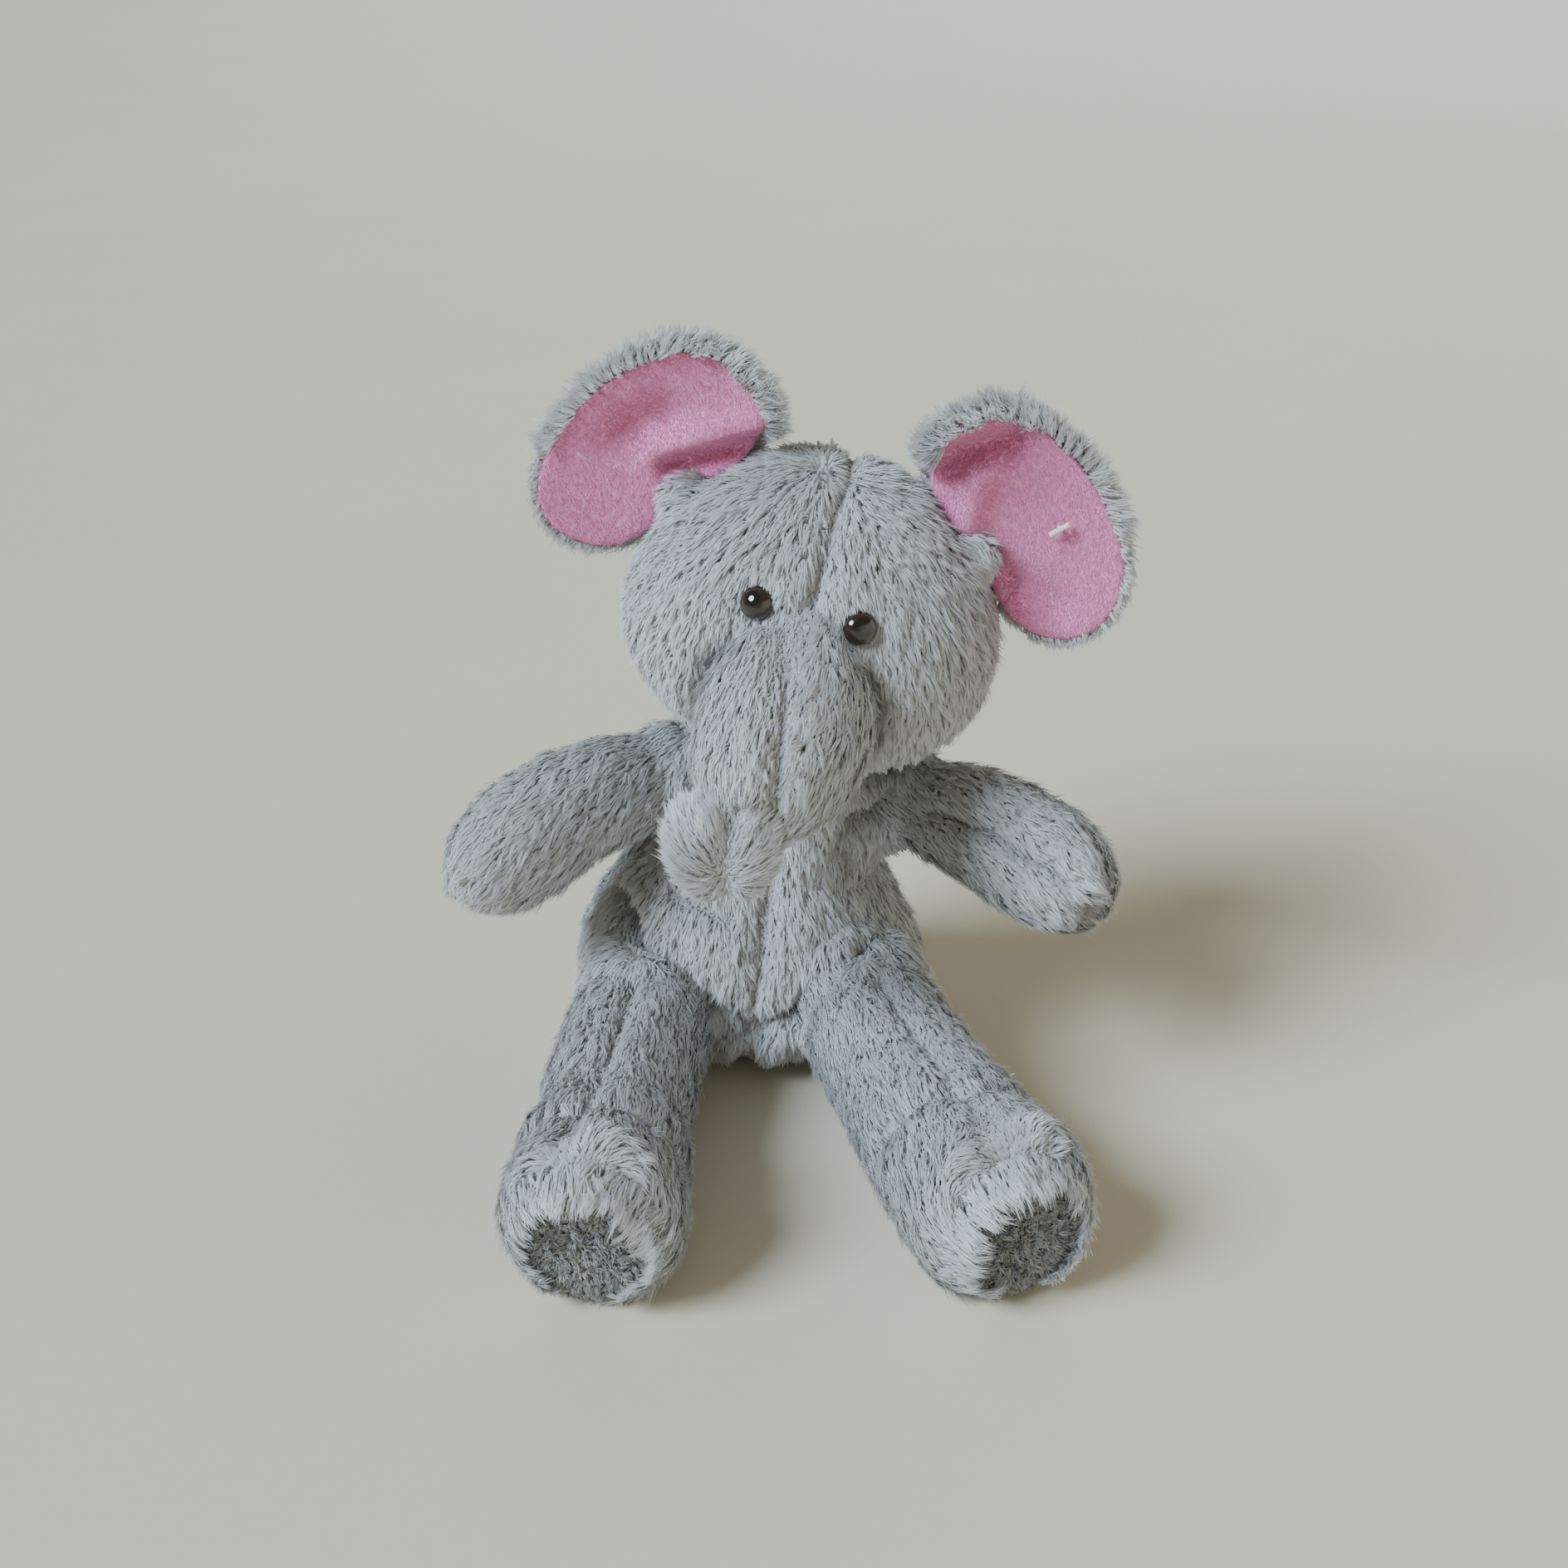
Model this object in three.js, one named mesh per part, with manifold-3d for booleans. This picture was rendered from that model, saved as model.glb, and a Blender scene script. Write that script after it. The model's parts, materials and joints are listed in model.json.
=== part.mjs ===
// A seated plush elephant: sewn cover panels over stuffing, with a seam ring where each limb turns.
// Millimetres. +Z is up, the elephant faces -Y, and its own left side is +X.
import * as THREE from "three";
import { mergeVertices } from "three/addons/utils/BufferGeometryUtils.js";
import Module from "manifold-3d";

const wasm = await Module();
wasm.setup();

const COVER = 3.5; // cover cloth with its pile pressed down
const SEAM = 0.5; // gap between pieces that are sewn or laid together
const PLAY = 3.5; // space round the root of a limb, for its seam ring
const FINE = 0.05; // how far a finished piece may be simplified
const BIG = 600; // longer than the whole toy, for cutting blocks
const MERGE = 1e-3; // vertices closer than this are one
const DOME_FACETS = 20; // facets round the neck's ball
const ROOM_FACETS = 24; // facets round the hollow that a ball turns in
const MOUTH_FACETS = 16; // facets round the mouth of such a hollow
const MOUTH_DEPTH = 3; // how far inward of the pivot such a mouth starts
const EAR_FACETS = 24; // facets round an ear's rim

const GREY = 0xb4bac0;
const SOLE_GREY = 0x8d8d8b;
const PINK = 0xd79cbc;
const WHITE = 0xf2f1ec;
const BROWN = 0x20130e;

const X = new THREE.Vector3(1, 0, 0);
const Y = new THREE.Vector3(0, 1, 0);
const Z = new THREE.Vector3(0, 0, 1);

const vec = (x, y, z) => new THREE.Vector3(x, y, z);
const radians = THREE.MathUtils.degToRad;

// ---------------------------------------------------------------- solids

function solidOf(geometry) {
  const bare = geometry.clone();
  bare.deleteAttribute("normal");
  bare.deleteAttribute("uv");
  const merged = mergeVertices(bare, MERGE);
  return new wasm.Manifold(
    new wasm.Mesh({
      numProp: 3,
      vertProperties: merged.attributes.position.array,
      triVerts: new Uint32Array(merged.index.array),
    }),
  );
}

function addPiece(group, name, solid, colour) {
  const made = solid.simplify(FINE).getMesh();
  const geometry = new THREE.BufferGeometry();
  geometry.setAttribute("position", new THREE.BufferAttribute(made.vertProperties, 3));
  geometry.setIndex(new THREE.BufferAttribute(made.triVerts, 1));
  geometry.computeVertexNormals();
  const mesh = new THREE.Mesh(geometry, new THREE.MeshStandardMaterial({ color: colour }));
  mesh.name = name;
  group.add(mesh);
}

function joined(solids) {
  return solids.reduce((whole, solid) => whole.add(solid));
}

function ball(centre, radius, around = 12) {
  const geometry = new THREE.SphereGeometry(radius, around, Math.round(around / 2));
  return solidOf(geometry.translate(...centre));
}

// A turned shape whose profile runs along the given direction, from a point.
function turnedAlong(profile, point, direction, around = 12) {
  const geometry = new THREE.LatheGeometry(profile.map(([r, h]) => new THREE.Vector2(r, h)), around);
  geometry.applyQuaternion(new THREE.Quaternion().setFromUnitVectors(Y, direction.clone().normalize()));
  return solidOf(geometry.translate(...point));
}

// The block of space that lies ahead of a plane, along its normal.
function spaceAhead(point, normal) {
  const geometry = new THREE.BoxGeometry(BIG, BIG, BIG).translate(0, 0, BIG / 2);
  geometry.applyQuaternion(new THREE.Quaternion().setFromUnitVectors(Z, normal.clone().normalize()));
  return solidOf(geometry.translate(...point));
}

// The two sides of a solid that is cut along a seam.
function halves(solid, point, normal) {
  const side = normal.clone().normalize();
  const gap = side.clone().multiplyScalar(SEAM / 2);
  const ahead = spaceAhead(point.clone().add(gap), side);
  const behind = spaceAhead(point.clone().sub(gap), side.clone().negate());
  return [solid.intersect(ahead), solid.intersect(behind)];
}

// ---------------------------------------------------------------- stuffed shapes

// A closed skin round a spine: the rows of a sphere are laid along the spine and swollen to its girths.
// grow moves the skin in or out, depth flattens it from front to back, blunt squares its two ends.
function stuffed(shape, grow = 0) {
  const { spine, girths, depth = 1, blunt = 3, around = 12, along = 8, front = Y } = shape;
  const curve = new THREE.CatmullRomCurve3(spine);
  const last = girths.length - 1;
  const girth = new THREE.SplineCurve(girths.map((value, i) => new THREE.Vector2(i / last, value)));
  const trim = -grow / curve.getLength();
  const geometry = new THREE.SphereGeometry(1, around, along);
  const position = geometry.getAttribute("position");
  for (let i = 0; i < position.count; i++) {
    const part = (1 - position.getY(i)) / 2;
    const round = Math.hypot(position.getX(i), position.getZ(i)) || 1;
    const at = trim + part * (1 - 2 * trim);
    const centre = extended(curve, at);
    const tangent = curve.getTangent(THREE.MathUtils.clamp(at, 0, 1));
    const side = new THREE.Vector3().crossVectors(front, tangent).normalize();
    const out = new THREE.Vector3().crossVectors(tangent, side).normalize();
    const closing = Math.sqrt(Math.max(0, 1 - Math.abs(2 * part - 1) ** blunt));
    const swell = (girth.getPoint(part).y + grow) * closing;
    centre.addScaledVector(side, (position.getX(i) / round) * swell);
    centre.addScaledVector(out, (position.getZ(i) / round) * (swell * depth));
    position.setXYZ(i, centre.x, centre.y, centre.z);
  }
  return solidOf(geometry);
}

// A point on a curve, carried straight on past either end.
function extended(curve, at) {
  const held = THREE.MathUtils.clamp(at, 0, 1);
  const beyond = (at - held) * curve.getLength();
  return curve.getPoint(held).addScaledVector(curve.getTangent(held), beyond);
}

// A limb: a ball at the pivot, where it turns, and a stuffed tube that runs out from it.
function limbBody(limb, grow = 0) {
  return ball(limb.spine[0], limb.ballRadius + grow).add(stuffed(limb, grow));
}

// A flat band that follows the ball at a limb's root, between two angles from the limb's direction.
function seamRing(pivot, direction, radius, [nearAngle, farAngle]) {
  const inner = radius + RING.inside;
  const outer = radius + PLAY - RING.outside;
  const steps = 2;
  const arc = (r, from, to) =>
    Array.from({ length: steps + 1 }, (_, i) => {
      const angle = radians(from + ((to - from) * i) / steps);
      return new THREE.Vector2(r * Math.sin(angle), r * Math.cos(angle));
    });
  const profile = [...arc(outer, farAngle, nearAngle), ...arc(inner, nearAngle, farAngle)];
  profile.push(profile[0].clone());
  const geometry = new THREE.LatheGeometry(profile, DOME_FACETS);
  geometry.applyQuaternion(new THREE.Quaternion().setFromUnitVectors(Y, direction.clone().normalize()));
  return solidOf(geometry.translate(...pivot));
}

const directionOf = (limb) => limb.spine[1].clone().sub(limb.spine[0]).normalize();

// ---------------------------------------------------------------- measurements

const FLOOR = vec(0, 0, 0);
const RING = { inside: 1, outside: 1.2 }; // what is left free under and over a seam ring

const torso = {
  spine: [vec(-5, 0, -7), vec(-5, 1, 30), vec(2, 2, 75), vec(16, 2, 126)],
  girths: [62, 78, 73, 58, 44, 36],
  depth: 0.74,
  blunt: 3.2,
  around: 20,
  along: 12,
  seam: vec(1, 0, -0.16),
  seamMiddle: vec(-1, 0, 60),
};
const SEAT_RADIUS = 36;

// Where the torso's skin stands, for the limbs that grow out of it.
const hipWidth = torso.girths[1];
const backDepth = torso.girths[1] * torso.depth;
const shoulderWidth = torso.girths[4];

// A limb's spine: its root, and the points that lie at the given offsets from it.
const spineFrom = (root, offsets) => [root, ...offsets.map((offset) => root.clone().add(offset))];

const roots = {
  armRight: vec(11 - shoulderWidth, -5, 124),
  armLeft: vec(shoulderWidth + 16, -7, 110),
  legRight: vec(31 - hipWidth, 20.72 - backDepth, 33),
  legLeft: vec(hipWidth - 40, 20.72 - backDepth, 33),
  tail: vec(-4, backDepth - 6.72, 44),
};

const neck = { pivot: vec(18, 2, 104), radius: 36, ringAngles: [22, 40] };

// The head and all that grows out of it are laid out upright round its own middle, then leant over.
const headPlace = { middle: vec(23, -3, 190), lean: radians(13), turn: radians(-8) };
const head = {
  spine: [vec(0, 2, -58), vec(0, 0, 0), vec(0, 3, 61)],
  girths: [64, 72, 70, 65, 57],
  depth: 0.84,
  blunt: 2.2,
  around: 20,
  along: 12,
  crownSeam: vec(0, 1, -0.12),
  crownMiddle: vec(0, 6, 0),
};
// Where the head's skin stands, for the eyes, the trunk and the ears.
const faceDepth = head.girths[2] * head.depth;
const headWidth = head.girths[2];

const eye = {
  apart: 36,
  inset: 7.3,
  height: 18,
  aside: 0.28,
  upward: 0.3,
  radius: 6.6,
  bulge: 4.6,
  lip: 1,
  stem: 1.6,
  stemLength: 9,
};
// A washer grips the stem between two depths behind the eye, in a pocket in the stuffing.
const washer = { radius: 6.5, near: 5.4, far: 7, pocketRadius: 7.5, pocketDepth: 11, pocketFront: 3 };

const trunkRoot = vec(0, 18.8 - faceDepth, -8);
const trunkTipRoot = trunkRoot.clone().add(vec(-5, -44, -40));
const trunk = {
  spine: spineFrom(trunkRoot, [vec(1, -26, -16), vec(-5, -46, -42)]),
  girths: [24, 29, 29, 25.5, 19.5],
  ballRadius: 24,
  mouth: 30,
  swing: 25,
  blunt: 8,
  front: X,
  seam: vec(1, 0.1, 0.1),
};
const trunkTip = {
  spine: spineFrom(trunkTipRoot, [vec(-5, -8, -10), vec(-13, -19, -17)]),
  girths: [13, 16, 17.5, 17.5, 14],
  ballRadius: 15,
  mouth: 19,
  swing: 30,
  blunt: 4,
  front: X,
  seam: vec(1, -0.12, 0.12),
};
// Each ear lies in its own plane: x runs along the edge it is sewn by, y out to its rim, z to the front.
const earOutline = [
  [-30, 0], [-44, 9], [-50, 24], [-42, 40], [-20, 50], [6, 53],
  [32, 48], [47, 34], [50, 18], [43, 6], [30, 0], [0, 0],
];
const ear = {
  backing: 3.6,
  lining: 2,
  border: 3,
  curl: 9,
  cup: 5,
  halfWidth: 50,
  reach: 55,
  middle: [0, 24],
};
const earPlaces = {
  right: { base: vec(14 - headWidth, 1, 32), along: vec(0.66, 0, 0.751) },
  left: { base: vec(headWidth - 18, 2, 38), along: vec(0.7, 0.05, -0.714) },
};
const earRoot = { halfLength: 34, depth: 5, floor: 6, reach: 22, flare: 17 };
const tagPin = { x: 6, y: 34, forward: 2, filament: 0.7, barRadius: 1, bar: 8, length: 12, facets: 10 };

const ARM_SEAM = vec(0, -1, 0.35); // the way an arm's front panel faces
const ARM_RING = [100, 122];
const LEG_RING = [100, 118];

const arms = {
  right: {
    spine: spineFrom(roots.armRight, [vec(-43, -19, -7), vec(-85, -42, -34)]),
    girths: [19, 20, 21.5, 22.5, 20],
    ballRadius: 19,
    mouth: 24,
    swing: 35,
    blunt: 5,
    side: -1,
  },
  left: {
    spine: spineFrom(roots.armLeft, [vec(34, -25, -4), vec(71, -55, -22)]),
    girths: [19, 20, 21.5, 22.5, 20],
    ballRadius: 19,
    mouth: 24,
    swing: 35,
    blunt: 5,
    side: 1,
  },
};

const legs = {
  right: {
    spine: spineFrom(roots.legRight, [vec(-9, -58, -5), vec(-13, -155, -4)]),
    girths: [25, 27, 26, 28, 31.5, 31],
    ballRadius: 26,
    mouth: 31,
    swing: 20,
    blunt: 8,
    side: -1,
    soleMiddle: roots.legRight.clone().add(vec(-13, -139, -5)),
  },
  left: {
    spine: spineFrom(roots.legLeft, [vec(20, -58, -5), vec(56, -155, -4)]),
    girths: [25, 27, 26, 28, 31.5, 31],
    ballRadius: 26,
    mouth: 31,
    swing: 20,
    blunt: 8,
    side: 1,
    soleMiddle: roots.legLeft.clone().add(vec(50, -139, -5)),
  },
};
const SOLE = 4; // thickness of a sole with its stiff backing

const tail = {
  spine: spineFrom(roots.tail, [vec(-1, 8, -12), vec(-4, 7, -34)]),
  girths: [4.5, 4.5, 4.2, 4],
  ballRadius: 5,
  mouth: 8,
  swing: 60,
  reach: 30,
  blunt: 6,
  around: 8,
  along: 6,
  front: X,
};
const tuft = { middle: roots.tail.clone().add(vec(-4.6, 7.2, -36.6)), radius: 5.6 };

// ---------------------------------------------------------------- limbs

const elephant = new THREE.Group();
elephant.name = "plush_elephant";

function armPieces(name, arm) {
  const body = limbBody(arm);
  const cover = body.subtract(limbBody(arm, -COVER));
  const direction = directionOf(arm);
  const [front, rear] = halves(cover, arm.spine[0], ARM_SEAM.clone().projectOnPlane(direction));
  addPiece(elephant, `arm_${name}_front`, front, GREY);
  addPiece(elephant, `arm_${name}_rear`, rear, GREY);
  addPiece(elephant, `arm_${name}_stuffing`, limbBody(arm, -COVER - SEAM), WHITE);
  const ring = seamRing(arm.spine[0], direction, arm.ballRadius, ARM_RING);
  addPiece(elephant, `arm_${name}_seam`, ring, GREY);
}

function legPieces(name, leg) {
  const direction = directionOf(leg);
  const flatDirection = vec(direction.x, direction.y, 0).normalize();
  const aboveFloor = spaceAhead(FLOOR, Z);
  const soleBack = leg.soleMiddle.clone().addScaledVector(flatDirection, -SOLE);
  const [, shank] = halves(limbBody(leg).intersect(aboveFloor), soleBack, flatDirection);
  const inside = limbBody(leg, -COVER).intersect(spaceAhead(vec(0, 0, COVER), Z));
  const cover = shank.subtract(inside);
  const outward = X.clone().multiplyScalar(leg.side).projectOnPlane(direction);
  const [outer, inner] = halves(cover, leg.spine[0], outward);
  addPiece(elephant, `leg_${name}_outer`, outer, GREY);
  addPiece(elephant, `leg_${name}_inner`, inner, GREY);

  const core = limbBody(leg, -COVER - SEAM).intersect(spaceAhead(vec(0, 0, COVER + SEAM), Z));
  addPiece(elephant, `leg_${name}_stuffing`, halves(core, soleBack, flatDirection)[1], WHITE);

  const soleFace = spaceAhead(leg.soleMiddle, flatDirection.clone().negate());
  const sole = halves(limbBody(leg).intersect(aboveFloor).intersect(soleFace), soleBack, flatDirection)[0];
  addPiece(elephant, `leg_${name}_sole`, sole, SOLE_GREY);
  const ring = seamRing(leg.spine[0], direction, leg.ballRadius, LEG_RING);
  addPiece(elephant, `leg_${name}_seam`, ring, GREY);
}

// The hollow a limb turns in: a ball round its seam ring, and a mouth that opens out by its swing.
function socket(limb) {
  const { spine, ballRadius, mouth, swing, reach = 60 } = limb;
  const opened = mouth + reach * Math.tan(radians(swing));
  const profile = [[0, -MOUTH_DEPTH], [mouth, -MOUTH_DEPTH], [opened, reach], [0, reach]];
  const mouthSpace = turnedAlong(profile, spine[0], directionOf(limb), MOUTH_FACETS);
  return ball(spine[0], ballRadius + PLAY, ROOM_FACETS).add(mouthSpace);
}

// ---------------------------------------------------------------- torso

// The upright column that parts the round seat panel from the torso's other panels.
function seatColumn(radius) {
  return solidOf(new THREE.CylinderGeometry(radius, radius, 2 * COVER, 32).rotateX(Math.PI / 2));
}

// The torso's skin with the rounded top of the neck, moved in or out by grow.
function torsoBody(grow = 0) {
  return stuffed(torso, grow).add(ball(neck.pivot, neck.radius + grow, DOME_FACETS));
}

function torsoPieces() {
  const limbs = [arms.right, arms.left, legs.right, legs.left, tail];
  const sockets = joined(limbs.map(socket));
  const body = torsoBody().intersect(spaceAhead(FLOOR, Z));
  const inside = torsoBody(-COVER).intersect(spaceAhead(vec(0, 0, COVER), Z));
  const cover = body.subtract(inside).subtract(sockets);
  addPiece(elephant, "torso_seat", body.intersect(seatColumn(SEAT_RADIUS)).subtract(sockets), GREY);

  const aroundSeat = cover.subtract(seatColumn(SEAT_RADIUS + 2 * SEAM));
  const [left, right] = halves(aroundSeat, torso.seamMiddle, torso.seam);
  for (const [side, half] of [["left", left], ["right", right]]) {
    const [back, front] = halves(half, torso.seamMiddle, Y);
    addPiece(elephant, `torso_front_${side}`, front, GREY);
    addPiece(elephant, `torso_back_${side}`, back, GREY);
  }

  const core = torsoBody(-COVER - SEAM).intersect(spaceAhead(vec(0, 0, COVER + SEAM), Z));
  addPiece(elephant, "torso_stuffing", core.subtract(sockets), WHITE);
}

// ---------------------------------------------------------------- ear roots

// An ear's own axes in the head: along its sewn edge, out to its rim, and to its front.
function earFrame({ base, along }) {
  const x = along.clone().normalize();
  const y = new THREE.Vector3().crossVectors(vec(0, -1, 0), x).normalize();
  const z = new THREE.Vector3().crossVectors(x, y);
  return new THREE.Matrix4().makeBasis(x, y, z).setPosition(base);
}

// The wedge-shaped slit in the head that an ear's sewn edge turns in.
function earSlit(place) {
  const { halfLength, depth, floor, reach, flare } = earRoot;
  const wedge = new THREE.Shape();
  wedge.moveTo(-floor, -depth);
  wedge.lineTo(floor, -depth);
  wedge.lineTo(flare, reach);
  wedge.lineTo(-flare, reach);
  wedge.closePath();
  const geometry = new THREE.ExtrudeGeometry(wedge, { depth: 2 * halfLength, bevelEnabled: false });
  geometry.translate(0, 0, -halfLength).rotateY(-Math.PI / 2);
  return solidOf(geometry.applyMatrix4(earFrame(place)));
}

// ---------------------------------------------------------------- head

const headGroup = new THREE.Group();
headGroup.position.copy(headPlace.middle);
headGroup.rotation.set(0, headPlace.lean, headPlace.turn, "ZYX");
elephant.add(headGroup);
elephant.updateMatrixWorld(true);

const eyePlaces = ["left", "right"].map((name) => {
  const side = name === "left" ? 1 : -1;
  const centre = vec((side * eye.apart) / 2, eye.inset - faceDepth, eye.height);
  return { name, centre, out: vec(side * eye.aside, -1, eye.upward) };
});

function eyeSolid(place, grow = 0) {
  const radius = eye.radius + grow;
  const stem = eye.stem + grow;
  const end = -eye.stemLength - grow;
  const dome = [0, 30, 60, 80].map((angle) => [
    radius * Math.cos(radians(angle)),
    eye.bulge * Math.sin(radians(angle)) + eye.lip,
  ]);
  const shank = [[0, end], [stem, end], [stem, -grow], [radius, -grow]];
  const profile = [...shank, ...dome, [0, eye.bulge + eye.lip + grow]];
  return turnedAlong(profile, place.centre, place.out);
}

function washerSolid(place) {
  const hole = eye.stem + SEAM;
  const { radius, near, far } = washer;
  const profile = [[hole, -far], [radius, -far], [radius, -near], [hole, -near], [hole, -far]];
  return turnedAlong(profile, place.centre, place.out);
}

function washerPocket(place) {
  const { pocketRadius: radius, pocketDepth: depth, pocketFront: front } = washer;
  const profile = [[0, -depth], [radius, -depth], [radius, front], [0, front]];
  return turnedAlong(profile, place.centre, place.out);
}

function headPieces() {
  const neckPivot = headGroup.worldToLocal(neck.pivot.clone());
  const neckRoom = ball(neckPivot, neck.radius + PLAY, ROOM_FACETS);
  const rooms = joined([neckRoom, socket(trunk), earSlit(earPlaces.right), earSlit(earPlaces.left)]);
  const eyeRoom = joined(eyePlaces.map((place) => eyeSolid(place, SEAM)));
  const cover = stuffed(head).subtract(stuffed(head, -COVER)).subtract(rooms).subtract(eyeRoom);

  const [back, face] = halves(cover, head.crownMiddle, head.crownSeam);
  for (const [half, place] of [[face, "face"], [back, "head_back"]]) {
    const [left, right] = halves(half, vec(0, 0, 0), X);
    addPiece(headGroup, `${place}_left`, left, GREY);
    addPiece(headGroup, `${place}_right`, right, GREY);
  }
  const pockets = joined(eyePlaces.map(washerPocket));
  const core = stuffed(head, -COVER - SEAM);
  addPiece(headGroup, "head_stuffing", core.subtract(rooms).subtract(pockets), WHITE);
  for (const place of eyePlaces) {
    addPiece(headGroup, `eye_${place.name}`, eyeSolid(place), BROWN);
    addPiece(headGroup, `eye_washer_${place.name}`, washerSolid(place), WHITE);
  }
}

function trunkPieces() {
  const tipRoom = socket(trunkTip);
  const cover = limbBody(trunk).subtract(limbBody(trunk, -COVER)).subtract(tipRoom);
  const [left, right] = halves(cover, trunk.spine[1], trunk.seam);
  addPiece(headGroup, "trunk_left", left, GREY);
  addPiece(headGroup, "trunk_right", right, GREY);
  addPiece(headGroup, "trunk_stuffing", limbBody(trunk, -COVER - SEAM).subtract(tipRoom), WHITE);

  const tipCover = limbBody(trunkTip).subtract(limbBody(trunkTip, -COVER));
  const [tipLeft, tipRight] = halves(tipCover, trunkTip.spine[0], trunkTip.seam);
  addPiece(headGroup, "trunk_tip_left", tipLeft, GREY);
  addPiece(headGroup, "trunk_tip_right", tipRight, GREY);
  addPiece(headGroup, "trunk_tip_stuffing", limbBody(trunkTip, -COVER - SEAM), WHITE);
}

// ---------------------------------------------------------------- ears

// How far forward an ear stands at a point of its plane: flat where it is sewn on, curled at its rim.
function earForward(x, y) {
  const out = y / ear.reach;
  return out * (ear.curl * (x / ear.halfWidth) ** 2 + ear.cup * out);
}

// One layer of an ear, from one height to another above its back, inset from the outline.
function earLayer(low, high, inset) {
  const rim = new THREE.CatmullRomCurve3(earOutline.map(([x, y]) => vec(x, y, 0)), true, "catmullrom", 0.4);
  const rows = [[0, low], [0.5, low], [0.8, low], [1, low], [1, high], [0.8, high], [0.5, high], [0, high]];
  const geometry = new THREE.LatheGeometry(rows.map(([r, h]) => new THREE.Vector2(r, h)), EAR_FACETS);
  const position = geometry.getAttribute("position");
  const middle = vec(...ear.middle, 0);
  for (let i = 0; i < position.count; i++) {
    const spread = Math.hypot(position.getX(i), position.getZ(i));
    const turn = 0.5 - Math.atan2(position.getX(i), position.getZ(i)) / (2 * Math.PI);
    const edge = rim.getPoint(turn % 1).sub(middle);
    edge.setLength(edge.length() - inset);
    const point = middle.clone().addScaledVector(edge, spread);
    position.setXYZ(i, point.x, point.y, position.getY(i) + earForward(point.x, point.y));
  }
  return solidOf(geometry);
}

// A plastic pin shot through the ear: a thread with a crossbar at either end.
function tagPinSolid(grow = 0) {
  const { x, y, forward, filament, barRadius, bar, length, facets } = tagPin;
  const z = earForward(x, y) + forward;
  const thread = filament + grow;
  const stalk = new THREE.CylinderGeometry(thread, thread, length, facets).rotateX(Math.PI / 2);
  const crossbar = new THREE.CylinderGeometry(barRadius + grow, barRadius + grow, bar, facets);
  const foot = crossbar.clone();
  return joined([
    solidOf(stalk.translate(x, y, z)),
    solidOf(crossbar.translate(x, y, z + length / 2)),
    solidOf(foot.translate(x, y, z - length / 2)),
  ]);
}

function earPieces(name, place) {
  const group = new THREE.Group();
  earFrame(place).decompose(group.position, group.quaternion, group.scale);
  headGroup.add(group);

  const thick = ear.backing;
  let back = earLayer(-thick / 2, thick / 2, 0);
  let lining = earLayer(thick / 2 + SEAM, thick / 2 + SEAM + ear.lining, ear.border);
  if (name === "left") {
    back = back.subtract(tagPinSolid(SEAM));
    lining = lining.subtract(tagPinSolid(SEAM));
    addPiece(group, "tag_pin", tagPinSolid(), WHITE);
  }
  addPiece(group, `ear_${name}_back`, back, GREY);
  addPiece(group, `ear_${name}_lining`, lining, PINK);
}

// ---------------------------------------------------------------- tail

function tailPieces() {
  const end = ball(tuft.middle, tuft.radius, 12);
  const room = ball(tuft.middle, tuft.radius + SEAM, 12);
  addPiece(elephant, "tail", limbBody(tail).subtract(room), GREY);
  addPiece(elephant, "tail_tuft", end, GREY);
}

torsoPieces();
addPiece(elephant, "neck_seam", seamRing(neck.pivot, Z, neck.radius, neck.ringAngles), GREY);
headPieces();
trunkPieces();
for (const side of ["right", "left"]) {
  earPieces(side, earPlaces[side]);
  armPieces(side, arms[side]);
  legPieces(side, legs[side]);
}
tailPieces();

export default elephant;
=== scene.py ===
"""The looks of the seated plush elephant: stuffed skins, combed pile, velour ears, eyes, light."""

import json
import math

import bpy
import numpy as np
from mathutils import Matrix, Vector
from mathutils.bvhtree import BVHTree
from mathutils.kdtree import KDTree


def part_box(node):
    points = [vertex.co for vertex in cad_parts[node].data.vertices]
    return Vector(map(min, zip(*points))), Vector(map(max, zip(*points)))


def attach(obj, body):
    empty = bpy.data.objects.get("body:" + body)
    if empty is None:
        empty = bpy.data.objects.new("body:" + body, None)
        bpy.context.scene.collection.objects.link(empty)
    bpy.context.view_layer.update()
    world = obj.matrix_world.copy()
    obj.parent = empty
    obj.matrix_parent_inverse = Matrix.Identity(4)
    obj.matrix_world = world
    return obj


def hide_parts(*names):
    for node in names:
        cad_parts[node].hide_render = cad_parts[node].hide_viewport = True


MM = 0.001
SEED = 41
FLOOR_GAP = 0.4 * MM  # no strand reaches lower than this above the floor
FLAT_ZONE = 6 * MM  # seams don't draw in a skin that is this low, so it stays flat on the floor
HELD_ZONE = 4 * MM  # stuffing doesn't swell a skin that is this low
BARE_ZONE = 2 * MM  # the underside of the torso has no pile below this height
PILE = 8 * MM  # length of the plush
STRAND = 1.0 * MM  # mean width of a strand at its root
MOST_STRANDS = 64000  # in one piece
FOLD_SPOTS = 9  # on each straight piece of a fold's line
TONE_SPREAD = 0.012  # half the width of a strand in its tone map
ROOT_V, MIDDLE_V, TIP_V = 0.02, 0.5, 0.98  # heights in the map from root to tip
EAR_SPOKES, EAR_ROWS = 80, 22
EAR_SEARCH = 70.0  # mm from an ear's middle, outside its rim everywhere
RAY_START = 80 * MM  # in front of an ear and behind it
TOY_MIDDLE = (0.01, -0.05, 0.12)
CAMERA_PLACE = (0.010, -0.5775, 0.4076)
CAMERA_LENS = 36.08  # mm, on a sensor 36 mm wide
CAMERA_DOWN = 27  # degrees below the horizon
CAMERA_ROLL = -1.1  # degrees

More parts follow.
